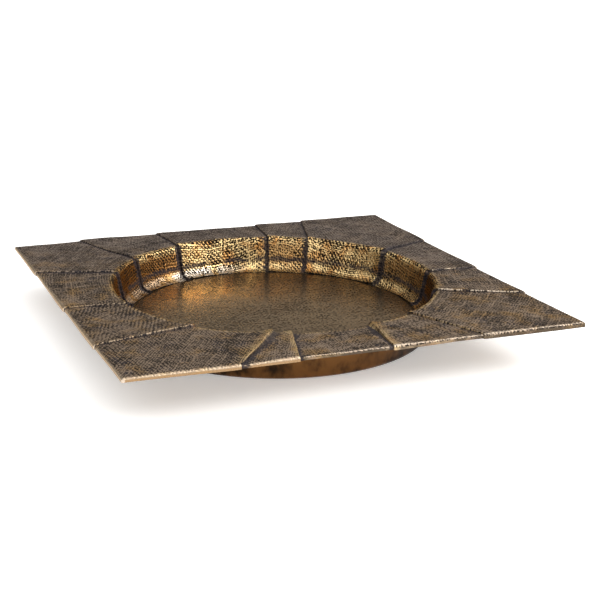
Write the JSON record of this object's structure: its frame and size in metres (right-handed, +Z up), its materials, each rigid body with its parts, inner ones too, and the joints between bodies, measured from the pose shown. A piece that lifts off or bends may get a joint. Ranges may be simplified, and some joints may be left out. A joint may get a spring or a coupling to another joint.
{
  "type": "brass tray",
  "caption": "Square brass tray with a wide flat rim of overlapping woven-textured sheets and a round flat-bottomed well on a smooth dish.",
  "frame": {"origin": "centre of the tray on the surface it stands on, at the underside of the felt pads", "axes": "+Z up; -Y towards the front edge, +X towards the right edge; the rim's edges are parallel to X and Y"},
  "size_m": [0.45, 0.45, 0.0537],
  "materials": {
    "woven_brass": "dark antique patina with worn golden threads and edges",
    "woven_floor_brass": "fine woven imprint, dark patina with a golden bloom",
    "dark_dish_brass": "smooth mottled bronze-brown patina",
    "plain_brass": "plain dull brass",
    "felt": "dark wool felt"
  },
  "bodies": {
    "root": {"rim_plate": "plain_brass", "inner_bowl": "plain_brass", "floor_disc": "woven_floor_brass", "outer_dish": "dark_dish_brass", "felt_pads": "felt", "back_left_corner_sheet": "woven_brass", "left_sheet_back": "woven_brass", "left_sheet_front": "woven_brass", "front_left_corner_sheet": "woven_brass", "front_sheet_left": "woven_brass", "front_sheet_middle": "woven_brass", "front_sheet_right": "woven_brass", "front_right_corner_sheet": "woven_brass", "right_sheet_front": "woven_brass", "right_sheet_back": "woven_brass", "back_right_corner_sheet": "woven_brass", "back_sheet_right": "woven_brass", "back_sheet_middle": "woven_brass", "back_sheet_left": "woven_brass"}
  },
  "joints": []
}
